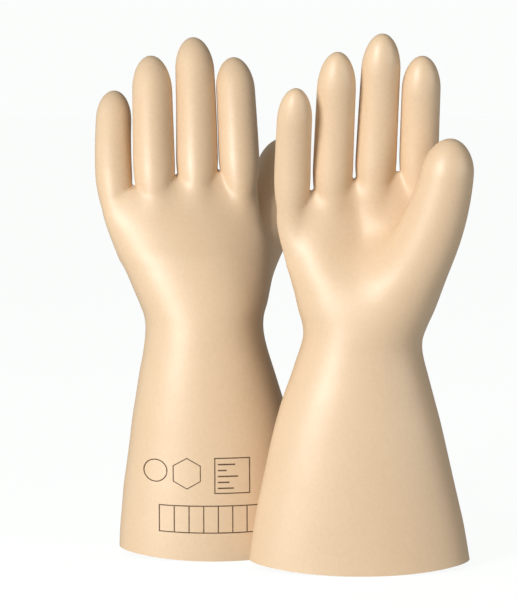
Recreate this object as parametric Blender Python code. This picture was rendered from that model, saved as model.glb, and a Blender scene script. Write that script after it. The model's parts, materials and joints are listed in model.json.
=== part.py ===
"""A pair of long-cuff rubber insulating gloves standing on their open cuffs.

Each glove is a thin dipped shell, divided at its flex lines into a gauntlet, a hand,
and two lengths for the thumb and for each finger. Metres, +Z up, on the floor at z = 0.
A glove is drawn thumb towards +X and palm towards -Y, and the left one is its mirror
image in Y. The rims at a flex line open into a wedge on the side that folds.
"""

import math

import bmesh
import bpy
from mathutils import Matrix, Vector

WALL = 0.0014
RIM_GAP = 0.0004
FOLD_MARGIN = 1.5
ROUND_SIDES = 14
CUFF_SIDES = 28

WRIST_HEIGHT = 0.157
WRIST_FLEX = 35.0
WRIST_BACK = 25.0
ROOT_ABOVE_WEB = 0.011
MIDDLE_HINGE_SHARE = 0.42

# The gauntlet, as shares of the way from the wrist's section out to the cuff's.
WRIST_HALF_SIZE = (0.0396, 0.0358)
FLARE = [
    (0.000, 1.00),
    (0.020, 0.92),
    (0.045, 0.79),
    (0.070, 0.64),
    (0.095, 0.47),
    (0.120, 0.27),
    (0.140, 0.10),
    (0.157, 0.00),
]
# The palm: height, centre x, centre y, half width, half depth.
PALM = [
    (0.157, 0.0010, 0.0000, 0.0396, 0.0358),
    (0.174, 0.0020, -0.0010, 0.0440, 0.0330),
    (0.186, 0.0019, -0.0018, 0.0466, 0.0308),
    (0.199, 0.0015, -0.0024, 0.0496, 0.0284),
    (0.211, 0.0010, -0.0025, 0.0512, 0.0260),
    (0.224, -0.0006, -0.0025, 0.0525, 0.0232),
    (0.241, -0.0025, -0.0027, 0.0540, 0.0190),
    (0.257, -0.0033, -0.0035, 0.0540, 0.0155),
    (0.265, -0.0040, -0.0045, 0.0480, 0.0100),
]
PALM_TOP = Vector((-0.0040, -0.0050, 0.2685))
SQUARENESS = 2.1

# A finger: web height, foot point, tip point, radius at the foot, radius at the tip.
FINGER_FOOT_BELOW_WEB = 0.030
FINGERS = {
    "index": (0.271, (0.0375, -0.0030), (0.0385, -0.0310, 0.345), 0.0131, 0.0122),
    "middle": (0.269, (0.0085, -0.0025), (0.0120, -0.0340, 0.360), 0.0137, 0.0122),
    "ring": (0.263, (-0.0203, -0.0035), (-0.0180, -0.0350, 0.347), 0.0130, 0.0118),
    "little": (0.258, (-0.0460, -0.0060), (-0.0453, -0.0400, 0.323), 0.0121, 0.0108),
}
TIP_DOME = 1.5
ROOT_FLEX = {"index": 35.0, "middle": 55.0, "ring": 55.0, "little": 55.0}
TIP_FLEX = {"index": 40.0, "middle": 65.0, "ring": 65.0, "little": 65.0}

THUMB_FOOT = Vector((0.0160, -0.0090, 0.184))
THUMB_RADII = (0.0240, 0.0155)
THUMB_FOLD = Vector((-0.92, -0.38, 0.0))
THUMB_HINGES = (0.58, 0.77)
THUMB_ROOT_FLEX = 25.0
THUMB_TIP_FLEX = 45.0


class Stand:
    """How one glove of the pair stands and is shaped.

    Its place, turn and sideways lean, whether it is the mirror image, its cuff's half
    sizes, how far the knuckles lie to the little finger's side, and its thumb.
    """

    def __init__(self, place, turn, lean, mirrored, cuff_half_size, knuckle_shift,
                 thumb_bend, thumb_tip):
        self.place = Vector(place)
        self.turn = math.radians(turn)
        self.lean = lean
        self.mirrored = mirrored
        self.cuff_half_size = cuff_half_size
        self.knuckle_shift = knuckle_shift
        self.thumb_bend = Vector(thumb_bend)
        self.thumb_tip = Vector(thumb_tip)


RIGHT_STAND = Stand(
    place=(0.0507, -0.0260, 0.0),
    turn=3.0,
    lean=0.0,
    mirrored=False,
    cuff_half_size=(0.0750, 0.0370),
    knuckle_shift=0.0,
    thumb_bend=(0.0535, -0.0365, 0.232),
    thumb_tip=(0.0552, -0.0495, 0.2915),
)
LEFT_STAND = Stand(
    place=(-0.0507, 0.0260, 0.0),
    turn=8.0,
    lean=-0.064,
    mirrored=True,
    cuff_half_size=(0.0680, 0.0415),
    knuckle_shift=-0.0055,
    thumb_bend=(0.0610, -0.0360, 0.225),
    thumb_tip=(0.0740, -0.0485, 0.2890),
)

PRINT_OFFSET = 0.0005
PRINT_THICKNESS = 0.0003
PRINT_LINE = 0.0008

LATEX_COLOUR = (0.86, 0.74, 0.56, 1.0)
INK_COLOUR = (0.11, 0.075, 0.05, 1.0)


def clear_scene():
    for thing in list(bpy.data.objects):
        bpy.data.objects.remove(thing, do_unlink=True)


def principled(name, colour, roughness):
    material = bpy.data.materials.new(name)
    material.use_nodes = True
    shader = material.node_tree.nodes["Principled BSDF"]
    shader.inputs["Base Color"].default_value = colour
    shader.inputs["Roughness"].default_value = roughness
    shader.inputs["Metallic"].default_value = 0.0
    return material


def face_outwards(shape):
    """Makes the faces agree, and turns them all round if they enclose a negative volume."""
    bmesh.ops.recalc_face_normals(shape, faces=shape.faces)
    if shape.calc_volume(signed=True) < 0:
        bmesh.ops.reverse_faces(shape, faces=shape.faces)


class Glove:
    """Carries one glove's drawing frame to where it stands, and makes its objects."""

    def __init__(self, side, stand, rubber, ink):
        self.form = stand
        flip = Matrix.Diagonal((1.0, -1.0 if stand.mirrored else 1.0, 1.0, 1.0))
        turn = Matrix.Rotation(stand.turn, 4, "Z")
        self.matrix = Matrix.Translation(stand.place) @ turn @ flip
        self.side = side
        self.rubber = rubber
        self.ink = ink
        self.stand = bpy.data.objects.new(side + "_glove_stand", None)
        self.stand.location = stand.place
        bpy.context.collection.objects.link(self.stand)

    def placed(self, point):
        leaned = Vector((point.x + self.form.lean * point.z, point.y, point.z))
        return self.matrix @ leaned

    def add(self, name, mesh, pivot, material):
        """Links a mesh drawn in the glove's frame as an object whose origin is the pivot."""
        origin = self.placed(pivot)
        shape = bmesh.new()
        shape.from_mesh(mesh)
        for vertex in shape.verts:
            vertex.co = self.placed(vertex.co) - origin
        face_outwards(shape)
        shape.to_mesh(mesh)
        shape.free()
        mesh.materials.clear()
        mesh.materials.append(material)
        mesh.shade_smooth()
        mesh.set_sharp_from_angle(angle=math.radians(50))
        thing = bpy.data.objects.new(f"{self.side}_{name}", mesh)
        thing.location = origin - self.stand.location
        thing.parent = self.stand
        bpy.context.collection.objects.link(thing)
        return thing


def grid_into(shape, rows, start_cap=None, end_cap=None):
    """Adds a skin through the rows of points, and returns its first and last loops."""
    loops = [[shape.verts.new(point) for point in row] for row in rows]
    for lower, upper in zip(loops, loops[1:]):
        for index in range(len(lower)):
            after = (index + 1) % len(lower)
            shape.faces.new((lower[index], lower[after], upper[after], upper[index]))
    for loop, cap in ((loops[0], start_cap), (loops[-1], end_cap)):
        if cap is None:
            continue
        middle = shape.verts.new(cap)
        for index in range(len(loop)):
            shape.faces.new((loop[index], loop[(index + 1) % len(loop)], middle))
    return loops[0], loops[-1]


def close_rim(shape, outer_loop, inner_loop):
    for index in range(len(outer_loop)):
        after = (index + 1) % len(outer_loop)
        shape.faces.new((outer_loop[index], outer_loop[after], inner_loop[after], inner_loop[index]))


def finished(shape, name):
    face_outwards(shape)
    mesh = bpy.data.meshes.new(name)
    shape.to_mesh(mesh)
    shape.free()
    return mesh


def wedge(half_angle, distance):
    """How far a rim stands back from the hinge plane at a distance on the folding side."""
    return RIM_GAP + math.tan(math.radians(half_angle + FOLD_MARGIN)) * max(0.0, distance)


class Arm:
    """The gauntlet and palm: superellipse sections, smooth between the listed heights."""

    def __init__(self, sections):
        self.sections = sections

    def section(self, height):
        rows = self.sections
        last = len(rows) - 1
        index = 0
        while index < last - 1 and height > rows[index + 1][0]:
            index += 1
        low, high = rows[index], rows[index + 1]
        before, after = rows[max(index - 1, 0)], rows[min(index + 2, last)]
        span = high[0] - low[0]
        share = (height - low[0]) / span
        values = []
        for column in range(1, 5):
            rise_low = (high[column] - before[column]) / (high[0] - before[0]) * span
            rise_high = (after[column] - low[column]) / (after[0] - low[0]) * span
            flat = share * share * (3 - 2 * share)
            start_weight = share * (1 - share) ** 2
            end_weight = share * share * (share - 1)
            level = low[column] * (1 - flat) + high[column] * flat
            values.append(level + rise_low * start_weight + rise_high * end_weight)
        return values

    def point(self, height, angle, inset=0.0):
        centre_x, centre_y, half_width, half_depth = self.section(height)
        power = 2.0 / SQUARENESS
        across = math.copysign(abs(math.cos(angle)) ** power, math.cos(angle))
        deep = math.copysign(abs(math.sin(angle)) ** power, math.sin(angle))
        return Vector((
            centre_x + (half_width - inset) * across,
            centre_y + (half_depth - inset) * deep,
            height,
        ))

    def wrist_setback(self, angle, inset):
        """The rim's distance from the wrist plane: a wedge to the palm and one to the back."""
        y = self.point(WRIST_HEIGHT, angle, inset).y
        half_angle = WRIST_FLEX / 2 if y < 0 else WRIST_BACK / 2
        return wedge(half_angle, abs(y))


def angles(count):
    return [2 * math.pi * index / count for index in range(count)]


def arm_rows(arm, lows, highs, inset, row_count):
    """Rows of points between a low and a high edge whose heights vary round the arm."""
    rows = []
    for row in range(row_count + 1):
        share = row / row_count
        line = []
        for angle, low, high in zip(angles(CUFF_SIDES), lows, highs):
            line.append(arm.point(low + (high - low) * share, angle, inset))
        rows.append(line)
    return rows


def gauntlet_arm(stand):
    """The gauntlet's sections, from the cuff's size to the wrist's."""
    wrist_x, wrist_y = PALM[0][1], PALM[0][2]
    wrist_width, wrist_depth = WRIST_HALF_SIZE
    cuff_width, cuff_depth = stand.cuff_half_size
    sections = []
    for height, share in FLARE:
        sections.append((
            height,
            wrist_x * (1 - share),
            wrist_y * (1 - share),
            wrist_width + (cuff_width - wrist_width) * share,
            wrist_depth + (cuff_depth - wrist_depth) * share,
        ))
    return Arm(sections)


def gauntlet_mesh(stand):
    arm = gauntlet_arm(stand)
    shape = bmesh.new()
    rims = []
    for inset in (0.0, WALL):
        highs = [WRIST_HEIGHT - arm.wrist_setback(angle, inset) for angle in angles(CUFF_SIDES)]
        lows = [0.0] * CUFF_SIDES
        rims.append(grid_into(shape, arm_rows(arm, lows, highs, inset, 7)))
    close_rim(shape, rims[0][0], rims[1][0])
    close_rim(shape, rims[0][1], rims[1][1])
    return finished(shape, "gauntlet")


def palm_solid(stand, inset, overshoot):
    """The palm as a closed lump, its lower end following the wrist wedge."""
    sections = []
    for height, centre_x, centre_y, half_width, half_depth in PALM:
        share = (height - WRIST_HEIGHT) / (PALM[-1][0] - WRIST_HEIGHT)
        shifted = centre_x + stand.knuckle_shift * share * share * (3 - 2 * share)
        sections.append((height, shifted, centre_y, half_width, half_depth))
    arm = Arm(sections)
    lows = []
    for angle in angles(CUFF_SIDES):
        lows.append(WRIST_HEIGHT + arm.wrist_setback(angle, inset) - overshoot)
    body = arm_rows(arm, lows, [PALM[-1][0]] * CUFF_SIDES, inset, 8)
    centre = Vector((PALM[0][1], PALM[0][2], WRIST_HEIGHT + RIM_GAP - overshoot))
    shape = bmesh.new()
    top = PALM_TOP + Vector((stand.knuckle_shift, 0, -inset))
    grid_into(shape, body, centre, top)
    return finished(shape, "palm")


class Finger:
    """A tube along a curve from the foot in the palm to a domed tip."""

    def __init__(self, foot, bend, tip, radii, fold):
        self.foot, self.bend, self.tip = foot, bend, tip
        self.foot_radius, self.tip_radius = radii
        self.fold = fold.normalized()
        self.length = (tip - foot).length
        self.dome_start = 1.0 - TIP_DOME * self.tip_radius / self.length

    def centre(self, t):
        near = self.foot * (1 - t) ** 2
        return near + self.bend * (2 * t * (1 - t)) + self.tip * t * t

    def along(self, t):
        speed = (self.bend - self.foot) * (2 * (1 - t)) + (self.tip - self.bend) * (2 * t)
        return speed.normalized()

    def folding(self, t):
        """The direction in which the finger folds, square to its length."""
        ahead = self.along(t)
        return (self.fold - ahead * self.fold.dot(ahead)).normalized()

    def radius(self, t, inset):
        full = self.foot_radius + (self.tip_radius - self.foot_radius) * min(t, self.dome_start)
        if t <= self.dome_start:
            return full - inset
        end = 1.0 - inset / self.length
        share = min((t - self.dome_start) / (end - self.dome_start), 1.0)
        return (full - inset) * math.sqrt(1 - share * share)

    def point(self, t, angle, inset=0.0):
        folding = self.folding(t)
        across = self.along(t).cross(folding)
        direction = across * math.cos(angle) + folding * math.sin(angle)
        return self.centre(t) + direction * self.radius(t, inset)

    def setback(self, t, angle, half_angle, inset):
        """A rim's distance from its hinge, as a share of the finger's length."""
        return wedge(half_angle, self.radius(t, inset) * math.sin(angle)) / self.length

    def rows(self, starts, ends, inset, row_count):
        lines = []
        for row in range(row_count + 1):
            share = row / row_count
            line = []
            for angle, start, end in zip(angles(ROUND_SIDES), starts, ends):
                line.append(self.point(start + (end - start) * share, angle, inset))
            lines.append(line)
        return lines


def stub_solid(finger, hinge, half_angle, inset, overshoot):
    """The finger's closed foot, from inside the palm up to its first hinge."""
    extra = overshoot / finger.length
    starts = [0.0] * ROUND_SIDES
    ends = []
    for angle in angles(ROUND_SIDES):
        ends.append(hinge - finger.setback(hinge, angle, half_angle, inset) + extra)
    shape = bmesh.new()
    top = finger.centre(hinge + extra - RIM_GAP / finger.length)
    grid_into(shape, finger.rows(starts, ends, inset, 4), finger.centre(0.0), top)
    return finished(shape, "stub")


def middle_length(finger, first, second, first_half, second_half):
    """The open tube between a finger's two hinges."""
    shape = bmesh.new()
    rims = []
    for inset in (0.0, WALL):
        starts = []
        ends = []
        for angle in angles(ROUND_SIDES):
            starts.append(first + finger.setback(first, angle, first_half, inset))
            ends.append(second - finger.setback(second, angle, second_half, inset))
        rims.append(grid_into(shape, finger.rows(starts, ends, inset, 3)))
    close_rim(shape, rims[0][0], rims[1][0])
    close_rim(shape, rims[0][1], rims[1][1])
    return finished(shape, "middle length")


def tip_length(finger, hinge, half_angle):
    """The closed end of a finger beyond its second hinge."""
    shape = bmesh.new()
    rims = []
    for inset in (0.0, WALL):
        starts = []
        for angle in angles(ROUND_SIDES):
            starts.append(hinge + finger.setback(hinge, angle, half_angle, inset))
        lines = finger.rows(starts, [finger.dome_start] * ROUND_SIDES, inset, 2)
        apex = 1.0 - inset / finger.length
        for step in (0.5, 0.8, 0.96):
            t = finger.dome_start + (apex - finger.dome_start) * step
            lines.append([finger.point(t, angle, inset) for angle in angles(ROUND_SIDES)])
        rims.append(grid_into(shape, lines, None, finger.centre(apex)))
    close_rim(shape, rims[0][0], rims[1][0])
    return finished(shape, "tip length")


def boolean(base_mesh, tool_mesh, operation):
    """The mesh that a Boolean of two closed meshes makes."""
    base = bpy.data.objects.new("base", base_mesh)
    tool = bpy.data.objects.new("tool", tool_mesh)
    for thing in (base, tool):
        bpy.context.collection.objects.link(thing)
    modifier = base.modifiers.new("cut", "BOOLEAN")
    modifier.operation = operation
    modifier.object = tool
    modifier.solver = "EXACT"
    graph = bpy.context.evaluated_depsgraph_get()
    result = bpy.data.meshes.new_from_object(base.evaluated_get(graph))
    bpy.data.objects.remove(base)
    bpy.data.objects.remove(tool)
    return result


def all_fingers(stand):
    """Each finger's tube, with its two hinges along it and their half angles."""
    table = {}
    for name, (web, foot, tip, foot_radius, tip_radius) in FINGERS.items():
        foot_x = foot[0] + stand.knuckle_shift
        foot_point = Vector((foot_x, foot[1], web - FINGER_FOOT_BELOW_WEB))
        tip_point = Vector(tip)
        bend = foot_point.lerp(tip_point, 0.5)
        bend.y = foot_point.y
        bend.y += 0.12 * (tip_point.y - foot_point.y)
        finger = Finger(foot_point, bend, tip_point, (foot_radius, tip_radius), Vector((0, -1, 0)))
        rise = tip_point.z - foot_point.z
        first = (FINGER_FOOT_BELOW_WEB + ROOT_ABOVE_WEB) / rise
        second = first + MIDDLE_HINGE_SHARE * (1 - first)
        table[name] = (finger, first, second, ROOT_FLEX[name] / 2, TIP_FLEX[name] / 2)
    thumb = Finger(THUMB_FOOT, stand.thumb_bend, stand.thumb_tip, THUMB_RADII, THUMB_FOLD)
    first, second = THUMB_HINGES
    table["thumb"] = (thumb, first, second, THUMB_ROOT_FLEX / 2, THUMB_TIP_FLEX / 2)
    return table


def hand_mesh(stand, fingers):
    """The palm with five finger feet, hollow and open at the wrist and at each foot."""
    outside = palm_solid(stand, 0.0, 0.0)
    inside = palm_solid(stand, WALL, 0.004)
    for finger, first, _second, half_angle, _tip_half in fingers.values():
        outside = boolean(outside, stub_solid(finger, first, half_angle, 0.0, 0.0), "UNION")
        inside = boolean(inside, stub_solid(finger, first, half_angle, WALL, 0.004), "UNION")
    return boolean(outside, inside, "DIFFERENCE")


def add_marker(glove, name, pivot, swing):
    """An empty on a joint's axis, its Z along the axis."""
    marker = bpy.data.objects.new(f"{glove.side}_{name}_axis", None)
    marker.parent = glove.stand
    marker.location = glove.placed(pivot) - glove.stand.location
    marker.rotation_mode = "QUATERNION"
    marker.rotation_quaternion = swing.to_track_quat("Z", "Y")
    bpy.context.collection.objects.link(marker)


def world_swing(glove, pivot, along, folding):
    """The joint axis about which a positive turn carries the far end to the folding side."""
    step = 0.001
    origin = glove.placed(pivot)
    ahead = glove.placed(pivot + along * step) - origin
    aside = glove.placed(pivot + folding * step) - origin
    return ahead.cross(aside).normalized()


def make_glove(side, stand, rubber, ink):
    glove = Glove(side, stand, rubber, ink)
    fingers = all_fingers(stand)
    wrist = Vector((PALM[0][1], PALM[0][2], WRIST_HEIGHT))
    glove.add("gauntlet", gauntlet_mesh(stand), Vector((0, 0, 0)), rubber)
    glove.add("hand", hand_mesh(stand, fingers), wrist, rubber)
    add_marker(glove, "wrist", wrist, world_swing(glove, wrist, Vector((0, 0, 1)), Vector((0, -1, 0))))
    for name, (finger, first, second, root_half, tip_half) in fingers.items():
        root = finger.centre(first)
        knuckle = finger.centre(second)
        base = middle_length(finger, first, second, root_half, tip_half)
        glove.add(name + "_base", base, root, rubber)
        glove.add(name + "_tip", tip_length(finger, second, tip_half), knuckle, rubber)
        for label, pivot, t in (("root", root, first), ("knuckle", knuckle, second)):
            swing = world_swing(glove, pivot, finger.along(t), finger.folding(t))
            add_marker(glove, f"{name}_{label}", pivot, swing)
    return glove


def printed_point(arm, x, height, lift):
    """A point on the back of the gauntlet at a sideways distance x, raised off the rubber."""
    centre_x, centre_y, half_width, half_depth = arm.section(height)
    across = min(abs(x - centre_x) / half_width, 1.0)
    deep = half_depth * (1 - across ** SQUARENESS) ** (1 / SQUARENESS)
    normal = Vector(((x - centre_x) / half_width ** 2, deep / half_depth ** 2, 0)).normalized()
    return Vector((x, centre_y + deep, height)) + normal * lift


def print_mesh(arm, cells):
    """A thin printed layer from flat cells, each a list of (x, height) corners."""
    shape = bmesh.new()
    known = {}
    for cell in cells:
        corners = []
        for x, height in cell:
            key = (round(x, 6), round(height, 6))
            if key not in known:
                known[key] = shape.verts.new(printed_point(arm, x, height, PRINT_OFFSET))
            corners.append(known[key])
        shape.faces.new(corners)
    lower = list(shape.faces)
    copy = bmesh.ops.duplicate(shape, geom=lower)
    pairs = {}
    for key, vertex in known.items():
        pairs[vertex] = copy["vert_map"][vertex]
        pairs[vertex].co = printed_point(arm, key[0], key[1], PRINT_OFFSET + PRINT_THICKNESS)
    edge_list = [edge for face in lower for edge in face.edges if edge.is_boundary]
    for edge in set(edge_list):
        first, second = edge.verts
        shape.faces.new((first, second, pairs[second], pairs[first]))
    return finished(shape, "print")


def bar_cells(lines_across, lines_up, keeps):
    """The kept cells of a grid whose lines are given, between neighbouring values."""
    cells = []
    for column, (left, right) in enumerate(zip(lines_across, lines_across[1:])):
        for row, (low, high) in enumerate(zip(lines_up, lines_up[1:])):
            if keeps(column, row):
                cells.append([(left, low), (right, low), (right, high), (left, high)])
    return cells


def date_grid_cells():
    """A strip of seven square boxes, the last one open."""
    left, low, box_width, box_height, box_count = -0.0395, 0.0195, 0.0100, 0.0195, 7
    across = []
    for index in range(box_count):
        across += [left + index * box_width, left + index * box_width + PRINT_LINE]
    across.append(left + box_count * box_width)
    up = [low, low + PRINT_LINE, low + box_height - PRINT_LINE, low + box_height]
    return bar_cells(across, up, lambda column, row: row != 1 or column % 2 == 0)


def panel_cells():
    """A square frame with short lines that start from its left side."""
    left, low, size, line_count = -0.0018, 0.0470, 0.0250, 6
    across = [left, left + PRINT_LINE]
    across += [left + size * share for share in (0.3, 0.6, 0.8)]
    across += [left + size - PRINT_LINE, left + size]
    pitch = (size - PRINT_LINE) / (line_count + 1)
    up = []
    for index in range(line_count + 2):
        up += [low + index * pitch, low + index * pitch + PRINT_LINE]
    sides = (0, len(across) - 2)
    frame_rows = (0, len(up) - 2)
    return bar_cells(
        across,
        up,
        lambda column, row: column in sides or row in frame_rows or (row % 2 == 0 and column <= 3),
    )


def outline_cells(centre_x, centre_height, radius, corners):
    """A regular outline with the given number of corners."""
    cells = []
    for index in range(corners):
        quad = []
        for step, reach in ((index, radius), (index + 1, radius), (index + 1, radius - PRINT_LINE),
                            (index, radius - PRINT_LINE)):
            angle = 2 * math.pi * (step % corners) / corners + math.pi / 2
            quad.append((centre_x + reach * math.cos(angle), centre_height + reach * math.sin(angle)))
        cells.append(quad)
    return cells


def add_prints(glove):
    arm = gauntlet_arm(glove.form)
    prints = {
        "date_grid_print": date_grid_cells(),
        "panel_print": panel_cells(),
        "ring_print": outline_cells(-0.0415, 0.0625, 0.0080, 20),
        "hexagon_print": outline_cells(-0.0205, 0.0610, 0.0110, 6),
    }
    for name, cells in prints.items():
        glove.add(name, print_mesh(arm, cells), Vector((0, 0, 0)), glove.ink)


def centre_over_origin(gloves):
    """Moves the pair so that the middle of its outer box is over the origin."""
    bpy.context.view_layer.update()
    corners = []
    for thing in bpy.context.collection.objects:
        if thing.type == "MESH":
            corners += [thing.matrix_world @ vertex.co for vertex in thing.data.vertices]
    for axis in (0, 1):
        values = [corner[axis] for corner in corners]
        middle = (min(values) + max(values)) / 2
        for glove in gloves:
            glove.stand.location[axis] -= middle


def main():
    clear_scene()
    rubber = principled("natural rubber", LATEX_COLOUR, 0.5)
    ink = principled("stamp ink", INK_COLOUR, 0.7)
    left = make_glove("left", LEFT_STAND, rubber, ink)
    right = make_glove("right", RIGHT_STAND, rubber, ink)
    add_prints(left)
    centre_over_origin((left, right))


main()
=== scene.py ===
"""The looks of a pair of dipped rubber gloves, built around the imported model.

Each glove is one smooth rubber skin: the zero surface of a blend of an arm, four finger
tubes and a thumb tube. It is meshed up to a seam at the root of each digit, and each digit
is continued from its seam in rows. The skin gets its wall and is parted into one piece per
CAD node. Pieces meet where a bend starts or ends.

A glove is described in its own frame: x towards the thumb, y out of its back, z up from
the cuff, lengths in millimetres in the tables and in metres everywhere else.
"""

import json
import math

import bmesh
import bpy
import numpy as np
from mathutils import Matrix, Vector


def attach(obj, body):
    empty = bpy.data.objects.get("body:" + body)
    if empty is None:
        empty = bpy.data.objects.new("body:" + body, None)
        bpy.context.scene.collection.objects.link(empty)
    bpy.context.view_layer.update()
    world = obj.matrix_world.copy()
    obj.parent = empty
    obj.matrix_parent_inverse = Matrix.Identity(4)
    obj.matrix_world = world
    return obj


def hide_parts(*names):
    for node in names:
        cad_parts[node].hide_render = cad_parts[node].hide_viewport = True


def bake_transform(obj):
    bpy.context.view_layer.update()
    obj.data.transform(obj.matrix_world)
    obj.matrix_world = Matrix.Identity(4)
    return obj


MM = 0.001
WALL = 1.4 * MM
# Where the arm's middle line meets the wrist hinge, in the glove's own frame.
WRIST_X = 1.0 * MM
WORLD_LIGHT_LEFT = 0.48
WORLD_LIGHT_RIGHT = 0.04
STUDIO_WHITE = (0.965, 0.98, 0.97, 1.0)
# The floor looks as white as the world, but throws back less light than that.
FLOOR_REACH = 40
FLOOR_GLOW = 0.950
FLOOR_BOUNCE = 0.24
# How much of the fine specks' colour shows over the broad cloudiness of the rubber.
SPECK_SHARE = 0.4
LIGHT_AIM = (0.0, 0.0, 0.18)
LIGHT_COLOUR = (1.0, 0.985, 0.965)
CAMERA_LENS = 138.4
CAMERA_PLACE = (0.036, -1.6, 0.318)
CAMERA_PITCH_DOWN = 5.03
CAMERA_YAW = 1.90
GRID_STEP = 2.0 * MM
GRADIENT_STEP = 0.6 * MM
# The distance that a digit's field gives to points outside its box.
FAR = 0.06
WELD = 0.0002
SAME_PLACE = 0.00001
# Faces within these distances of a digit's seam are the ones that its cut goes through.
SEAM_CUT_DEPTH = 0.008
SEAM_CUT_REACH = 0.035
# Only skin of the hand above this height, and this close to a digit, gives way to its rows.
REPLACED_ABOVE = 0.2
REPLACED_WITHIN = 6 * MM

ARM_SQUARENESS = 2.1
ARM_TOP_BLEND = 12 * MM
WEB_BLEND = 15 * MM
FINGER_BLEND = 1.0 * MM
WEB_SLOPE = 0.2
WEB_DEPTH = 22 * MM
# Millimetres below and above a finger's foot between which it swells out of the palm.
FINGER_ROOT_DEPTH = 20.0
FINGER_FULL_ABOVE = 40.0
SLIM = 1.3 * MM
THUMB_BALL_BLEND = 26 * MM
THUMB_FREE_BLEND = 1.0 * MM
THUMB_FREE_FROM = (0.34, 0.52)
RIM_LIFT = 5 * MM
RIM_LIFT_HEIGHT = 70 * MM

WRIST_BEND_HALF = 28 * MM
# How far each digit's lower bend reaches below and above its root hinge, and how far its
# upper bend reaches to each side of its knuckle hinge, in millimetres.
BENDS = {
    "index": (6.5, 12.0, 11.0),
    "middle": (4.5, 16.0, 13.0),
    "ring": (3.0, 15.0, 12.0),
    "little": (6.0, 9.5, 10.5),
    "thumb": (4.0, 9.0, 9.0),
}
# How far past its lower bend, in millimetres, a digit's base length meets its tip length.
TIP_SEAM_GAP = 1

RIGHT = {
    "turn": 3.0,
    "lean": 0.0,
    "flip": 1.0,
    # Height, centre x, centre y, half width, half depth.
    "arm": [
        (-12, -0.6, 0, 77.5, 37.0),
        (0, -0.8, 0, 75.3, 37.0),
        (14, -1.0, 0, 73.4, 37.0),
        (30, -1.2, 0, 70.9, 37.1),
        (45, -1.6, 0, 68.0, 37.1),
        (60, -1.8, 0, 64.8, 37.1),
        (81, -2.0, 0, 60.2, 37.0),
        (98, -2.0, 0, 56.2, 36.8),
        (117, -1.8, 0, 50.9, 36.5),
        (130, -1.2, 0, 46.8, 36.2),
        (142, -0.8, 0, 43.2, 36.0),
        (150, -0.3, 0, 41.0, 35.9),
        (158, 0.4, -0.2, 39.8, 35.7),
        (166, 1.0, -0.6, 41.0, 34.8),
        (175, 1.4, -1.2, 44.0, 33.4),
        (187, 1.6, -1.8, 47.0, 31.2),
        (199, 1.2, -2.4, 49.8, 28.8),
        (211, 0.8, -2.6, 51.6, 25.6),
        (224, -0.8, -2.8, 53.0, 20.6),
        (241, -2.6, -3.6, 52.4, 14.0),
        (257, -3.6, -5.0, 50.0, 8.6),
        (275, -4.0, -6.0, 46.0, 6.0),
    ],
    "webs": [(-62, 252), (-33.4, 261), (-4.8, 269), (26.5, 273.6), (56, 270)],
    # Foot, tip, sideways bow, radius at the foot and tip, length of the domed end.
    "fingers": {
        "index": ((37.6, -3.0, 241), (37.6, -31.0, 345.0), 0.0, (13.4, 12.7), 24),
        "middle": ((7.8, -2.5, 239), (11.3, -34.0, 359.5), 0.0, (14.3, 12.6), 25),
        "ring": ((-20.9, -3.5, 233), (-18.1, -35.0, 347.5), 0.0, (13.9, 12.6), 26),
        "little": ((-47.2, -6.0, 228), (-45.6, -40.0, 323.5), -1.5, (12.7, 11.3), 23),
    },
    "thumb": ((17.0, -9.0, 182), (53.0, -38.0, 230), (54.8, -50.0, 291.5), (26.0, 15.5), 22),
    # Depth of the cupped palm.
    "hollow": 9.0,
}
LEFT = {
    "turn": 8.0,
    "lean": -0.064,
    "flip": -1.0,
    "arm": [
        (-12, 2.0, 0, 71.0, 41.0),
        (0, 2.0, 0, 70.0, 41.3),
        (14, 2.0, 0, 68.6, 41.3),
        (32, 2.2, 0, 66.2, 41.2),
        (49, 2.3, 0, 63.8, 41.0),
        (62, 2.4, 0, 61.2, 40.6),
        (81, 2.5, 0, 57.6, 40.0),
        (95, 2.4, 0, 54.9, 39.4),
        (110, 2.3, 0, 51.4, 38.6),
        (127, 2.1, 0, 47.4, 37.6),
        (144, 2.1, 0, 43.2, 36.5),
        (153, 2.1, 0, 41.6, 36.0),
        (160, 2.2, -0.3, 41.0, 35.5),
        (167, 2.2, -0.6, 41.6, 34.8),
        (175, 2.2, -1.2, 44.0, 33.4),
        (184, 1.4, -1.7, 46.4, 31.7),
        (191, 0.6, -2.0, 48.0, 30.3),
        (199, -0.6, -2.4, 49.7, 28.6),
        (207, -1.8, -2.5, 51.0, 26.8),
        (219, -3.4, -2.8, 52.2, 22.2),
        (232, -5.0, -3.2, 52.8, 17.4),
        (245, -6.6, -4.2, 52.0, 12.6),
        (257, -7.6, -5.2, 50.0, 8.6),
        (275, -8.0, -6.0, 46.0, 6.0),
    ],
    "webs": [(-66, 252), (-41, 261), (-12.5, 268.5), (18.5, 272), (52, 268)],
    "fingers": {
        "index": ((33.4, -2.0, 241), (37.7, -28.0, 346.0), 0.0, (14.8, 13.4), 24),
        "middle": ((2.6, -3.5, 239), (10.9, -38.0, 360.0), 1.0, (15.2, 13.4), 25),
        "ring": ((-26.9, -2.5, 233), (-20.1, -32.0, 347.0), -0.5, (14.9, 13.8), 26),
        "little": ((-52.6, -7.0, 228), (-46.5, -44.0, 322.0), -6.0, (13.4, 12.2), 23),
    },
    "thumb": ((12.0, -9.0, 180), (60.0, -37.0, 224), (74.0, -49.0, 289.0), (25.0, 15.5), 22),
    "hollow": 6.5,
}

PRINT_LINE = 0.8
PRINT_LIFT = 0.06 * MM
PRINT_SINK = 0.10 * MM
PRINT_STEP = 1.5
# The stamp stands upright although its glove leans: its rows shift about this height.
PRINT_UPRIGHT_ABOUT = 45 * MM
PRINT_SEARCH_DEPTH = 0.06


def smoothstep(value):
    value = np.clip(value, 0.0, 1.0)
    return value * value * (3 - 2 * value)


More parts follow.
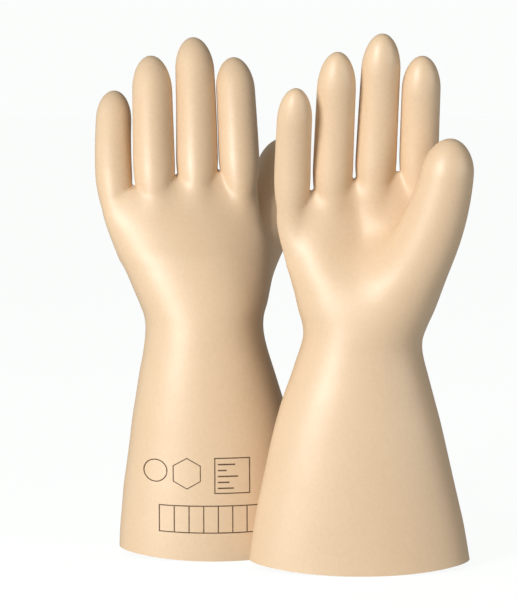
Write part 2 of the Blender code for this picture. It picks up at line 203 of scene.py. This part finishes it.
def smooth_min(first, second, width):
    """The lower of two distances, rounded where they differ by less than a width."""
    near = np.clip(width - np.abs(first - second), 0.0, None) / width
    return np.minimum(first, second) - near**3 * width / 6


class Digit:
    """A finger or thumb: a tube about a quadratic curve, with a domed end."""

    SAMPLES = 72
    REACH = 1.22

    def __init__(self, foot, bend, tip, radii, dome, start=0.0, sink=None):
        self.foot, self.bend, self.tip = (np.array(point) * MM for point in (foot, bend, tip))
        self.radii = [radius * MM for radius in radii]
        self.dome = dome * MM
        self.start = start
        self.sink = sink
        self.shares = np.linspace(start, self.REACH, self.SAMPLES)
        self.samples = self.centre(self.shares)
        steps = np.linalg.norm(np.diff(self.samples, axis=0), axis=1)
        self.lengths = np.concatenate([[0.0], np.cumsum(steps)])
        self.length = np.interp(1.0, self.shares, self.lengths)
        margin = 0.03
        self.low = self.samples.min(axis=0) - margin - self.radii[0]
        self.high = self.samples.max(axis=0) + margin + self.radii[0]

    def centre(self, share):
        share = np.asarray(share)[..., None]
        rest = 1 - share
        return rest * rest * self.foot + 2 * share * rest * self.bend + share * share * self.tip

    def slope(self, share):
        share = np.asarray(share)[..., None]
        return 2 * (1 - share) * (self.bend - self.foot) + 2 * share * (self.tip - self.bend)

    def nearest(self, points):
        """The share of the way along the curve that is nearest to each point."""
        products = points @ self.samples.T
        squares = (self.samples**2).sum(axis=1)
        share = self.shares[np.argmin(squares - 2 * products, axis=1)]
        for _step in range(2):
            slope = self.slope(share)
            across = ((points - self.centre(share)) * slope).sum(axis=1)
            share = share + across / (slope**2).sum(axis=1)
            share = np.clip(share, self.start, self.REACH)
        return share

    def radius(self, share):
        foot_radius, tip_radius = self.radii
        radius = foot_radius + (tip_radius - foot_radius) * np.clip(share, 0, 1)
        if self.sink:
            low, high = self.sink
            radius = radius * smoothstep((share - low + 0.01) / (high - low)) ** 0.55
        return radius

    def own_distance(self, local, share):
        """How far points are outside the tube, given where along it they are nearest."""
        out = np.linalg.norm(local - self.centre(share), axis=1)
        radius = self.radius(share)
        beyond = np.interp(share, self.shares, self.lengths) - (self.length - self.dome)
        beyond = np.clip(beyond, 0.0, None) / self.dome
        return (np.sqrt((out / radius) ** 2 + beyond**2) - 1) * radius

    def distance(self, points):
        """How far each point is outside the tube, and its share along the curve."""
        result = np.full(len(points), FAR)
        shares = np.zeros(len(points))
        near = np.all((points > self.low) & (points < self.high), axis=1)
        if near.any():
            local = points[near]
            share = self.nearest(local)
            result[near] = self.own_distance(local, share)
            shares[near] = share
        return result, shares


class Skin:
    """One glove's outer surface as a field that is negative inside, and its place."""

    def __init__(self, side, form, joints):
        self.side = side
        self.form = form
        self.fingers = {}
        for name, (foot, tip, bow, radii, dome) in form["fingers"].items():
            bend = [(low + high) / 2 for low, high in zip(foot, tip)]
            bend[0] += bow
            bend[1] = foot[1] + 0.12 * (tip[1] - foot[1])
            rise = tip[2] - foot[2]
            sink = (-FINGER_ROOT_DEPTH / rise, FINGER_FULL_ABOVE / rise)
            self.fingers[name] = Digit(foot, bend, tip, radii, dome, sink[0], sink)
        self.thumb = Digit(*form["thumb"])
        self.digits = dict(self.fingers, thumb=self.thumb)
        self.levels, self.columns = self.arm_table(form["arm"])
        self.web_x, self.web_z = np.array(form["webs"]).T * MM
        self.hinges = {}
        for joint in joints:
            if joint["type"] == "hinge" and joint["name"].startswith(side + "_"):
                self.hinges[joint["name"][len(side) + 1:]] = np.array(joint["pos_m"])
        turn = math.radians(form["turn"])
        rotation = np.array([
            [math.cos(turn), -math.sin(turn), 0.0],
            [math.sin(turn), math.cos(turn), 0.0],
            [0.0, 0.0, 1.0],
        ])
        lean = np.array([[1.0, 0.0, form["lean"]], [0.0, 1.0, 0.0], [0.0, 0.0, 1.0]])
        self.matrix = rotation @ np.diag([1.0, form["flip"], 1.0]) @ lean
        wrist = self.hinges["wrist"]
        self.place = np.zeros(3)
        self.place = wrist - self.placed(np.array([[WRIST_X, 0.0, wrist[2]]]))[0]

    def arm_table(self, rows):
        """The arm's section at half-millimetre heights, on smooth curves."""
        rows = np.array(rows, float) * MM
        heights = rows[:, 0]
        fine = np.arange(heights[0], heights[-1], 0.5 * MM)
        columns = []
        for values in rows[:, 1:].T:
            tangents = np.gradient(values, heights)
            index = np.clip(np.searchsorted(heights, fine) - 1, 0, len(heights) - 2)
            span = heights[index + 1] - heights[index]
            share = (fine - heights[index]) / span
            level = values[index] + (values[index + 1] - values[index]) * smoothstep(share)
            low = tangents[index] * span * share * (1 - share) ** 2
            high = tangents[index + 1] * span * share**2 * (share - 1)
            columns.append(level + low + high)
        return fine, columns

    def placed(self, points):
        """Points from the glove's own frame in the row's frame."""
        return points @ self.matrix.T + self.place

    def unplaced(self, points):
        return (points - self.place) @ np.linalg.inv(self.matrix).T

    def web_height(self, points):
        height = np.interp(points[:, 0], self.web_x, self.web_z)
        return height - WEB_SLOPE * (points[:, 1] + 15 * MM)

    def arm(self, points):
        x, y, z = points.T
        centre_x, centre_y, half_width, half_depth = (
            np.interp(z, self.levels, column) for column in self.columns
        )
        across, deep = x - centre_x, y - centre_y
        power = ARM_SQUARENESS
        shape = (np.abs(across / half_width) ** power + np.abs(deep / half_depth) ** power)
        shape = np.maximum(shape, 1e-6) ** (1 / power)
        side = np.hypot(across, deep) * (1 - 1 / shape)
        side = side + self.palm_relief(x, deep / half_depth, z)
        top = z - self.web_height(points) + 3 * MM
        return -smooth_min(-side, -top, ARM_TOP_BLEND)

    def palm_relief(self, x, depth_share, z):
        """The cupped palm and the rise of the heel on the palm side of the arm."""
        def bump(centre_x, centre_z, width, height):
            return np.exp(-(((x - centre_x * MM) / (width * MM)) ** 2)
                          - ((z - centre_z * MM) / (height * MM)) ** 2)

        front = smoothstep(-depth_share / 0.6)
        hollow = self.form["hollow"] * MM * bump(-5, 226, 29, 29)
        heel = 1.5 * MM * bump(-26, 195, 18, 28)
        return front * (hollow - heel)

    def field(self, points, slim=0.0):
        """Negative inside the glove. Slimmer free digits keep a coarse grid from bridging."""
        web = self.web_height(points)
        blend = WEB_BLEND * smoothstep((web + 3 * MM - points[:, 2]) / WEB_DEPTH)
        blend = np.maximum(blend, FINGER_BLEND)
        slimmer = slim * smoothstep((points[:, 2] - web + 3 * MM) / (5 * MM))
        fingers = np.full(len(points), FAR)
        for digit in self.fingers.values():
            fingers = smooth_min(fingers, digit.distance(points)[0] + slimmer, blend)
        hand = smooth_min(self.arm(points), fingers, blend)
        thumb, share = self.thumb.distance(points)
        low, high = THUMB_FREE_FROM
        free = smoothstep((share - low) / (high - low))
        thumb = thumb + slim * free
        blend = THUMB_BALL_BLEND + (THUMB_FREE_BLEND - THUMB_BALL_BLEND) * free
        return smooth_min(hand, thumb, blend)

    def gradient(self, points):
        slopes = []
        for axis in range(3):
            shift = np.zeros(3)
            shift[axis] = GRADIENT_STEP
            rise = self.field(points + shift) - self.field(points - shift)
            slopes.append(rise / (2 * GRADIENT_STEP))
        return np.stack(slopes, axis=1)

    def settled(self, points, rounds=3):
        """Points moved onto the surface."""
        for _round in range(rounds):
            slope = self.gradient(points)
            size = np.maximum((slope**2).sum(axis=1), 0.05)
            points = points - slope * (self.field(points) / size)[:, None]
        return points

    def normals(self, points):
        """The surface's outward directions in the row's frame."""
        slope = self.gradient(points) @ np.linalg.inv(self.matrix)
        return slope / np.maximum(np.linalg.norm(slope, axis=1), 1e-9)[:, None]


def surface_net(values, origin, step):
    """The zero surface of a grid of values, as points and four-sided faces."""
    inside = values < 0
    corner_offsets = np.array([(i, j, k) for i in (0, 1) for j in (0, 1) for k in (0, 1)])
    cells = np.array(values.shape) - 1
    count = np.zeros(cells, int)
    for i, j, k in corner_offsets:
        count += inside[i:i + cells[0], j:j + cells[1], k:k + cells[2]]
    active = (count > 0) & (count < 8)
    base = np.argwhere(active)
    index = np.full(cells, -1)
    index[active] = np.arange(len(base))
    total = np.zeros((len(base), 3))
    crossings = np.zeros(len(base))
    for start in corner_offsets:
        for axis in range(3):
            if start[axis]:
                continue
            end = start.copy()
            end[axis] = 1
            low = values[tuple((base + start).T)]
            high = values[tuple((base + end).T)]
            crosses = (low < 0) != (high < 0)
            share = np.where(crosses, low / np.where(crosses, low - high, 1.0), 0.0)
            total += crosses[:, None] * (start + share[:, None] * (end - start))
            crossings += crosses
    points = origin + step * (base + total / crossings[:, None])
    faces = []
    for axis in range(3):
        second, third = (axis + 1) % 3, (axis + 2) % 3
        low = np.moveaxis(inside, (axis, second, third), (0, 1, 2))
        cell = np.moveaxis(index, (axis, second, third), (0, 1, 2))
        here, there = low[:-1, 1:-1, 1:-1], low[1:, 1:-1, 1:-1]
        for leaving in (True, False):
            at = np.argwhere((here != there) & (here == leaving))
            quads = [cell[at[:, 0], at[:, 1] + j, at[:, 2] + k] for j, k in
                     ((0, 0), (1, 0), (1, 1), (0, 1))]
            quads = np.stack(quads, axis=1)
            faces.append(quads if leaving else quads[:, ::-1])
    return points, np.concatenate(faces)


def outer_mesh(skin):
    """The glove's outer surface in the row's frame, open at the cuff, as a bmesh."""
    low = np.array([-85.0, -75.0, -6.0]) * MM
    high = np.array([98.0, 50.0, 300.0]) * MM
    counts = np.ceil((high - low) / GRID_STEP).astype(int) + 1
    axes = [low[a] + GRID_STEP * np.arange(counts[a]) for a in range(3)]
    grid = np.stack(np.meshgrid(*axes, indexing="ij"), axis=-1).reshape(-1, 3)
    values = np.concatenate([skin.field(part, SLIM) for part in np.array_split(grid, 12)])
    points, faces = surface_net(values.reshape(counts), low, GRID_STEP)
    points = skin.settled(points)
    faces = faces if skin.form["flip"] > 0 else faces[:, ::-1]
    mesh = bpy.data.meshes.new(skin.side + "_skin")
    mesh.from_pydata(skin.placed(points).tolist(), [], faces.tolist())
    shape = bmesh.new()
    shape.from_mesh(mesh)
    bpy.data.meshes.remove(mesh)
    bmesh.ops.remove_doubles(shape, verts=shape.verts[:], dist=SAME_PLACE)
    return shape


def nearest_digits(skin, shape):
    """Every face with the name of the digit it is nearest to and its distance from it."""
    faces = shape.faces[:]
    middles = np.array([face.calc_center_median() for face in faces])
    local = skin.unplaced(middles)
    names = list(skin.digits)
    distances = np.stack([skin.digits[name].distance(local)[0] for name in names])
    nearest = np.argmin(distances, axis=0)
    return faces, middles, [names[index] for index in nearest], distances.min(axis=0)


def cut_seam(skin, shape, layer, number, name, place, along):
    """Cuts a digit off square to its length and marks the cut edges with its number."""
    faces, middles, nearest, _distance = nearest_digits(skin, shape)
    depth = np.abs((middles - place) @ along)
    reach = np.linalg.norm(middles - place, axis=1)
    chosen = [
        face for face, owner, deep, far in zip(faces, nearest, depth, reach)
        if owner == name and deep < SEAM_CUT_DEPTH and far < SEAM_CUT_REACH
    ]
    edges = {edge for face in chosen for edge in face.edges}
    verts = {vert for face in chosen for vert in face.verts}
    cut = bmesh.ops.bisect_plane(
        shape, geom=chosen + list(edges) + list(verts), dist=WELD,
        plane_co=Vector(place), plane_no=Vector(along),
    )
    for part in cut["geom_cut"]:
        if isinstance(part, bmesh.types.BMEdge):
            part[layer] = number


def build_glove(skin, latex):
    """Makes one glove's pieces, each standing for its CAD node."""
    shape = outer_mesh(skin)
    bmesh.ops.bisect_plane(
        shape, geom=shape.verts[:] + shape.edges[:] + shape.faces[:], dist=WELD,
        plane_co=(0, 0, 0), plane_no=(0, 0, 1), clear_inner=True,
    )
    wrist = skin.hinges["wrist"]
    wrist_seam = wrist[2] + WRIST_BEND_HALF
    bmesh.ops.bisect_plane(
        shape, geom=shape.verts[:] + shape.edges[:] + shape.faces[:], dist=WELD,
        plane_co=(0, 0, wrist_seam), plane_no=(0, 0, 1),
    )
    seams = {}
    layer = shape.edges.layers.int.new("seam")
    for name, digit in skin.digits.items():
        below = BENDS[name][0] * MM
        ahead = {}
        for label in ("root", "knuckle"):
            hinge = skin.hinges[f"{name}_{label}"]
            share = digit.nearest(skin.unplaced(hinge[None]))
            slope = digit.slope(share)[0] @ skin.matrix.T
            centre = skin.placed(digit.centre(share))[0]
            ahead[label] = (hinge, slope / np.linalg.norm(slope), centre)
        hinge, along, centre = ahead["root"]
        cut_seam(skin, shape, layer, len(seams) + 1, name, hinge - along * below, along)
        seams[name] = ahead
    remove_beyond_seams(skin, shape, seams)
    shape.verts.index_update()
    loops = {}
    for number, name in enumerate(seams, start=1):
        loops[name] = seam_loop(shape, layer, number)
    mesh = bpy.data.meshes.new("cut")
    shape.to_mesh(mesh)
    shape.free()
    points = np.zeros(len(mesh.vertices) * 3)
    mesh.vertices.foreach_get("co", points)
    points = points.reshape(-1, 3)
    faces = [tuple(polygon.vertices) for polygon in mesh.polygons]
    bpy.data.meshes.remove(mesh)
    middles = np.array([points[list(face)].mean(axis=0) for face in faces])
    labels = ["gauntlet" if middle[2] < wrist_seam else "hand" for middle in middles]
    for name, digit in skin.digits.items():
        extra, base_faces, tip_faces = finger_loft(skin, digit, points, loops[name], name, seams)
        points = np.concatenate([points, extra])
        faces += base_faces + tip_faces
        labels += [name + "_base"] * len(base_faces) + [name + "_tip"] * len(tip_faces)
    canonical = skin.unplaced(points)
    normals = skin.normals(canonical)
    lift = rim_lift(skin, canonical)
    inner = points - normals * WALL
    at_rim = points[:, 2] < 0.0004
    inner[at_rim, 2] = points[at_rim, 2]
    points = points + lift
    inner = inner + lift
    for label in sorted(set(labels)):
        own = [face for face, mark in zip(faces, labels) if mark == label]
        piece = walled_piece(f"{skin.side}_{label}_skin", own, points, inner, normals)
        piece.data.materials.append(latex)
        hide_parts(f"{skin.side}_{label}")
        hang(skin, piece, label, seams)


def remove_beyond_seams(skin, shape, seams):
    """Takes away what lies beyond each digit's seam, which the digit's own rows replace."""
    faces, middles, nearest, distance = nearest_digits(skin, shape)
    doomed = []
    for face, middle, name, far in zip(faces, middles, nearest, distance):
        hinge, along, _centre = seams[name]["root"]
        beyond = (middle - hinge) @ along > -BENDS[name][0] * MM
        if beyond and far < REPLACED_WITHIN and middle[2] > REPLACED_ABOVE:
            doomed.append(face)
    bmesh.ops.delete(shape, geom=doomed, context="FACES")


def seam_loop(shape, layer, number):
    """The hand's open edge at a digit's seam, as vertex numbers in order."""
    following = {}
    for edge in shape.edges:
        if edge[layer] == number and edge.is_boundary:
            corner = edge.link_loops[0]
            following[corner.vert.index] = corner.link_loop_next.vert.index
    start = min(following)
    loop = [start]
    while following[loop[-1]] != start:
        loop.append(following[loop[-1]])
    return loop


def finger_loft(skin, digit, points, loop, name, seams):
    """Rows of points from the seam to the fingertip, and the faces of the two lengths."""
    first_ring = skin.unplaced(points[loop])
    middle = first_ring.mean(axis=0)
    start = digit.nearest(middle[None])[0]
    share = digit.nearest(first_ring)
    ahead = digit.slope(start)
    ahead = ahead / np.linalg.norm(ahead)
    side = np.cross(ahead, [0.0, -1.0, 0.0])
    side /= np.linalg.norm(side)
    up = np.cross(side, ahead)
    spoke = first_ring - digit.centre(share)
    angle = np.arctan2(spoke @ up, spoke @ side)
    to_tip_seam = (BENDS[name][1] + TIP_SEAM_GAP) * MM
    knuckle_seam = digit_share_at(skin, digit, seams[name]["root"], to_tip_seam)
    lengths = digit.lengths
    apex = digit.length
    begin = np.interp(start, digit.shares, lengths)
    split = np.interp(knuckle_seam, digit.shares, lengths)
    low_rows = max(2, round((split - begin) / GRID_STEP))
    high_rows = max(4, round((apex - digit.dome - split) / GRID_STEP))
    reach = list(begin + (split - begin) * np.linspace(0, 1, low_rows + 1)[1:])
    reach += list(split + (apex - digit.dome - split) * np.linspace(0, 1, high_rows + 1)[1:])
    dome_rows = round(digit.dome / GRID_STEP * 1.4)
    turn = np.linspace(0, math.pi / 2, dome_rows + 1)[1:-1]
    reach += list(apex - digit.dome + digit.dome * np.sin(turn))
    extra = []
    ring_share = np.interp(begin, lengths, digit.shares)
    share_gap = share - ring_share
    for row, length in enumerate(reach):
        fade = max(0.0, 1 - (length - begin) / (split - begin)) ** 2
        at = np.interp(length, lengths, digit.shares) + share_gap * fade
        forward = digit.slope(at)
        forward /= np.linalg.norm(forward, axis=1)[:, None]
        across = np.cross(forward, [0.0, -1.0, 0.0])
        across /= np.linalg.norm(across, axis=1)[:, None]
        over = np.cross(across, forward)
        beyond = np.clip(np.interp(at, digit.shares, lengths) - apex + digit.dome, 0, None)
        size = digit.radius(at) * np.sqrt(np.clip(1 - (beyond / digit.dome) ** 2, 0, 1))
        spoke = across * np.cos(angle)[:, None] + over * np.sin(angle)[:, None]
        extra.append(digit.centre(at) + spoke * size[:, None])
    count = len(loop)
    extra.append(digit.centre(np.array([1.0])))
    extra = skin.placed(np.concatenate(extra))
    rings = [list(loop)]
    for row in range(len(reach)):
        rings.append([len(points) + row * count + index for index in range(count)])
    tip = len(points) + len(reach) * count
    base_faces, tip_faces = [], []
    for row, (low, high) in enumerate(zip(rings, rings[1:])):
        target = base_faces if row < low_rows else tip_faces
        for index in range(count):
            after = (index + 1) % count
            target.append((low[after], low[index], high[index], high[after]))
    for index in range(count):
        tip_faces.append((rings[-1][(index + 1) % count], rings[-1][index], tip))
    return extra, base_faces, tip_faces


def digit_share_at(skin, digit, ahead, distance):
    """The share along a digit that lies a distance beyond a hinge."""
    _hinge, along, centre = ahead
    return digit.nearest(skin.unplaced((centre + along * distance)[None]))[0]


def rim_lift(skin, canonical):
    """How far the cuff's sides stand above its front and back."""
    half = np.interp(canonical[:, 2], skin.levels, skin.columns[2])
    across = (canonical[:, 0] / half) ** 2
    fade = np.clip(1 - canonical[:, 2] / RIM_LIFT_HEIGHT, 0, 1) ** 2
    lift = np.zeros_like(canonical)
    lift[:, 2] = RIM_LIFT * across * fade
    return lift


def walled_piece(name, faces, outer, inner, normals):
    """A piece of skin with its wall: outside, inside and the edges between them."""
    used = sorted({vertex for face in faces for vertex in face})
    place = {vertex: index for index, vertex in enumerate(used)}
    count = len(used)
    outside = [tuple(place[vertex] for vertex in face) for face in faces]
    inside = [tuple(vertex + count for vertex in reversed(face)) for face in outside]
    edges = {}
    for face in outside:
        for first, second in zip(face, face[1:] + face[:1]):
            key = (min(first, second), max(first, second))
            edges[key] = None if key in edges else (first, second)
    rim = [(b, a, a + count, b + count) for a, b in filter(None, edges.values())]
    rows = np.concatenate([outer[used], inner[used]])
    mesh = bpy.data.meshes.new(name)
    mesh.from_pydata(rows.tolist(), [], outside + inside + rim)
    mesh.shade_smooth()
    own_normals = normals[used]
    corner = []
    for face in outside:
        corner += [tuple(own_normals[vertex]) for vertex in face]
    for face in inside:
        corner += [tuple(-own_normals[vertex - count]) for vertex in face]
    mesh.update()
    first_rim = len(outside) + len(inside)
    for polygon in mesh.polygons[first_rim:]:
        corner += [tuple(polygon.normal)] * polygon.loop_total
    mesh.normals_split_custom_set(corner)
    rest = mesh.attributes.new("rest_place", "FLOAT_VECTOR", "POINT")
    rest.data.foreach_set("vector", rows.astype(np.float32).ravel())
    piece = bpy.data.objects.new(name, mesh)
    bpy.context.collection.objects.link(piece)
    return piece


def hang(skin, piece, label, seams):
    """Rides the hand piece on its body and leaves the gauntlet and the digits' pieces where they
    stand.
    """
    side = skin.side
    if label == "gauntlet":
        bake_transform(piece)
    elif label == "hand":
        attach(piece, side + "_hand")
    else:
        name, part = label.split("_")
        if part == "base":
            hinge, along, _centre = seams[name]["root"]
        else:
            hinge, along, _centre = seams[name]["knuckle"]
        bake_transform(piece)


def srgb(red, green, blue):
    """A colour from 0-255 display values."""
    def linear(value):
        value /= 255
        return value / 12.92 if value <= 0.04045 else ((value + 0.055) / 1.055) ** 2.4

    return (linear(red), linear(green), linear(blue), 1.0)


def new_material(name):
    material = bpy.data.materials.new(name)
    material.use_nodes = True
    nodes = material.node_tree.nodes
    nodes.clear()
    output = nodes.new("ShaderNodeOutputMaterial")
    shader = nodes.new("ShaderNodeBsdfPrincipled")
    material.node_tree.links.new(shader.outputs["BSDF"], output.inputs["Surface"])
    return material, nodes, material.node_tree.links, shader


def noise(nodes, links, place, scale, detail):
    texture = nodes.new("ShaderNodeTexNoise")
    texture.inputs["Scale"].default_value = scale
    texture.inputs["Detail"].default_value = detail
    links.new(place, texture.inputs["Vector"])
    return texture.outputs["Fac"]


def mixed(nodes, links, factor, low, high):
    mix = nodes.new("ShaderNodeMix")
    mix.data_type = "RGBA"
    if isinstance(factor, float):
        mix.inputs["Factor"].default_value = factor
    else:
        links.new(factor, mix.inputs["Factor"])
    for socket, colour in (("A", low), ("B", high)):
        target = [entry for entry in mix.inputs if entry.name == socket and entry.type == "RGBA"][0]
        if isinstance(colour, tuple):
            target.default_value = colour
        else:
            links.new(colour, target)
    return [entry for entry in mix.outputs if entry.type == "RGBA"][0]


def ranged(nodes, links, value, low, high, to_low, to_high):
    node = nodes.new("ShaderNodeMapRange")
    links.new(value, node.inputs["Value"])
    limits = {"From Min": low, "From Max": high, "To Min": to_low, "To Max": to_high}
    for socket, number in limits.items():
        node.inputs[socket].default_value = number
    return node.outputs["Result"]


def latex_material():
    """Cloudy, finely speckled rubber, coloured by its place at rest so that it can bend."""
    material, nodes, links, shader = new_material("natural_rubber")
    place = nodes.new("ShaderNodeAttribute")
    place.attribute_name = "rest_place"
    place = place.outputs["Vector"]
    broad = ranged(nodes, links, noise(nodes, links, place, 14, 3), 0.35, 0.65, 0, 1)
    fine = ranged(nodes, links, noise(nodes, links, place, 420, 4), 0.3, 0.7, 0, 1)
    colour = mixed(nodes, links, broad, srgb(229, 202, 168), srgb(224, 195, 160))
    speck = mixed(nodes, links, fine, srgb(226, 198, 164), srgb(217, 186, 150))
    links.new(mixed(nodes, links, SPECK_SHARE, colour, speck), shader.inputs["Base Color"])
    links.new(ranged(nodes, links, broad, 0, 1, 0.43, 0.51), shader.inputs["Roughness"])
    shader.inputs["Specular IOR Level"].default_value = 0.75
    bump = nodes.new("ShaderNodeBump")
    bump.inputs["Strength"].default_value = 0.12
    bump.inputs["Distance"].default_value = 0.0004
    links.new(noise(nodes, links, place, 900, 3), bump.inputs["Height"])
    links.new(bump.outputs["Normal"], shader.inputs["Normal"])
    return material


def ink_material():
    material, nodes, links, shader = new_material("stamp_ink")
    place = nodes.new("ShaderNodeNewGeometry").outputs["Position"]
    worn = ranged(nodes, links, noise(nodes, links, place, 900, 4), 0.35, 0.7, 0, 1)
    colour = mixed(nodes, links, worn, srgb(84, 64, 46), srgb(122, 98, 74))
    links.new(colour, shader.inputs["Base Color"])
    shader.inputs["Roughness"].default_value = 0.6
    shader.inputs["Specular IOR Level"].default_value = 0.25
    return material


def print_cells():
    """The stamp's rectangles and outlines as corner loops, in millimetres on the cuff."""
    line = PRINT_LINE
    grid_left, grid_low, box, tall, boxes = -39.5, 19.5, 10.0, 19.5, 7
    grid = []
    for row in (grid_low, grid_low + tall - line):
        grid.append(rectangle(grid_left, row, boxes * box, line))
    for index in range(boxes):
        grid.append(rectangle(grid_left + index * box, grid_low, line, tall))
    left, low, size = -1.8, 47.0, 25.0
    panel = [
        rectangle(left, low, size, line),
        rectangle(left, low + size - line, size, line),
        rectangle(left, low, line, size),
        rectangle(left + size - line, low, line, size),
    ]
    for index, (start, width) in enumerate(((2.5, 11), (2.5, 8), (2.5, 14), (2.5, 6), (2.5, 12))):
        panel.append(rectangle(left + start, low + 3.4 + 4.1 * index, width, 1.0))
    return {
        "left_date_grid_print": grid,
        "left_panel_print": panel,
        "left_ring_print": outline(-41.5, 62.5, 8.0, 48),
        "left_hexagon_print": outline(-20.5, 61.0, 11.0, 6),
    }


def rectangle(x, z, width, height):
    return [(x, z), (x + width, z), (x + width, z + height), (x, z + height)]


def outline(centre_x, centre_z, radius, corners):
    """The sides of a ring or polygon, each a four-cornered strip of the line's width."""
    quads = []
    within = radius - PRINT_LINE
    for index in range(corners):
        corner = []
        for step, reach in ((0, radius), (1, radius), (1, within), (0, within)):
            angle = 2 * math.pi * (index + step) / corners + math.pi / 2
            corner.append((centre_x + reach * math.cos(angle), centre_z + reach * math.sin(angle)))
        quads.append(corner)
    return quads


def build_prints(skin, ink):
    """Lays the stamp on the back of the cuff, in small cells that follow its curve."""
    for node, quads in print_cells().items():
        flat, faces = [], []
        for quad in quads:
            quad = np.array(quad)
            sides = [np.linalg.norm(quad[1] - quad[0]), np.linalg.norm(quad[3] - quad[0])]
            across, up = (max(1, math.ceil(side / PRINT_STEP)) for side in sides)
            base = len(flat)
            for j in range(up + 1):
                for i in range(across + 1):
                    low = quad[0] + (quad[1] - quad[0]) * i / across
                    high = quad[3] + (quad[2] - quad[3]) * i / across
                    flat.append(low + (high - low) * j / up)
            for j in range(up):
                for i in range(across):
                    corner = base + j * (across + 1) + i
                    faces.append((corner, corner + 1, corner + across + 2, corner + across + 1))
        flat = np.array(flat) * MM
        flat[:, 0] -= skin.form["lean"] * (flat[:, 1] - PRINT_UPRIGHT_ABOUT)
        near = np.zeros(len(flat))
        far = np.full(len(flat), PRINT_SEARCH_DEPTH)
        for _round in range(24):
            middle = (near + far) / 2
            inside = skin.field(np.stack([flat[:, 0], middle, flat[:, 1]], axis=1)) < 0
            near = np.where(inside, middle, near)
            far = np.where(inside, far, middle)
        local = np.stack([flat[:, 0], near, flat[:, 1]], axis=1)
        normals = skin.normals(local)
        surface = skin.placed(local) + rim_lift(skin, local)
        outer = surface + normals * PRINT_LIFT
        inner = surface - normals * PRINT_SINK
        corners = surface[[faces[0][0], faces[0][1], faces[0][2]]]
        facing = np.cross(corners[1] - corners[0], corners[2] - corners[0]) @ normals[faces[0][0]]
        if facing < 0:
            faces = [tuple(reversed(face)) for face in faces]
        piece = walled_piece(node + "_ink", faces, outer, inner, normals)
        piece.data.materials.append(ink)
        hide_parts(node)
        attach(piece, "left_gauntlet")


def area_light(name, place, size, power):
    data = bpy.data.lights.new(name, "AREA")
    data.shape = "RECTANGLE"
    data.size, data.size_y = size
    data.energy = power
    data.color = LIGHT_COLOUR
    light = bpy.data.objects.new(name, data)
    light.location = place
    light.rotation_euler = (Vector(LIGHT_AIM) - Vector(place)).to_track_quat("-Z", "Y").to_euler()
    light.visible_camera = False
    bpy.context.collection.objects.link(light)


def build_stage():
    """A floor and a world of the same white, and the lights."""
    mesh = bpy.data.meshes.new("floor")
    directions = ((-1, -1), (1, -1), (1, 1), (-1, 1))
    corners = [(x * FLOOR_REACH, y * FLOOR_REACH, 0) for x, y in directions]
    mesh.from_pydata(corners, [], [(0, 1, 2, 3)])
    floor = bpy.data.objects.new("floor", mesh)
    bpy.context.collection.objects.link(floor)
    material, nodes, links, shader = new_material("floor_white")
    shader.inputs["Base Color"].default_value = (0.12, 0.12, 0.12, 1.0)
    shader.inputs["Roughness"].default_value = 0.9
    shader.inputs["Specular IOR Level"].default_value = 0.1
    shader.inputs["Emission Color"].default_value = STUDIO_WHITE
    seen = nodes.new("ShaderNodeLightPath").outputs["Is Camera Ray"]
    links.new(ranged(nodes, links, seen, 0, 1, FLOOR_BOUNCE, FLOOR_GLOW),
              shader.inputs["Emission Strength"])
    mesh.materials.append(material)
    world = bpy.data.worlds.new("studio")
    world.use_nodes = True
    background = world.node_tree.nodes["Background"]
    background.inputs["Color"].default_value = STUDIO_WHITE
    nodes, links = world.node_tree.nodes, world.node_tree.links
    seen = nodes.new("ShaderNodeLightPath").outputs["Is Camera Ray"]
    direction = nodes.new("ShaderNodeSeparateXYZ")
    links.new(nodes.new("ShaderNodeTexCoord").outputs["Generated"], direction.inputs[0])
    # What the camera sees is plain white. What lights the gloves is dimmer to the right.
    soft = ranged(nodes, links, direction.outputs["X"], -1, 1, WORLD_LIGHT_LEFT, WORLD_LIGHT_RIGHT)
    strength = nodes.new("ShaderNodeMath")
    strength.operation = "MAXIMUM"
    links.new(soft, strength.inputs[0])
    links.new(seen, strength.inputs[1])
    links.new(strength.outputs[0], background.inputs["Strength"])
    bpy.context.scene.world = world
    bpy.context.scene.view_settings.view_transform = "Standard"
    area_light("key", (-1.2, -1.7, 0.60), (0.7, 1.15), 43)
    area_light("fill", (1.6, -0.9, 0.25), (1.5, 1.5), 13)


def build_camera():
    data = bpy.data.cameras.new("camera")
    data.sensor_width = 36
    data.lens = CAMERA_LENS
    camera = bpy.data.objects.new("camera", data)
    camera.location = CAMERA_PLACE
    camera.rotation_euler = (math.radians(90 - CAMERA_PITCH_DOWN), 0.0, math.radians(CAMERA_YAW))
    bpy.context.collection.objects.link(camera)
    bpy.context.scene.camera = camera


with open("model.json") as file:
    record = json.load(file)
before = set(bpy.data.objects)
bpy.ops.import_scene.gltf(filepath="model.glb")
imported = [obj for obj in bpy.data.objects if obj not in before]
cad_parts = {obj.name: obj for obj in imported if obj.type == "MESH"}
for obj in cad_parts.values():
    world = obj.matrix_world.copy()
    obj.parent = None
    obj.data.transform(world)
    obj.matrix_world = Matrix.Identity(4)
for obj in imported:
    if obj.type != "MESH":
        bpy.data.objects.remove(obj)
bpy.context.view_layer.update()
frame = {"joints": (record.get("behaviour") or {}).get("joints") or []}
latex = latex_material()
gloves = {}
for side, form in (("left", LEFT), ("right", RIGHT)):
    gloves[side] = Skin(side, form, frame["joints"])
    build_glove(gloves[side], latex)
build_prints(gloves["left"], ink_material())
build_stage()
build_camera()
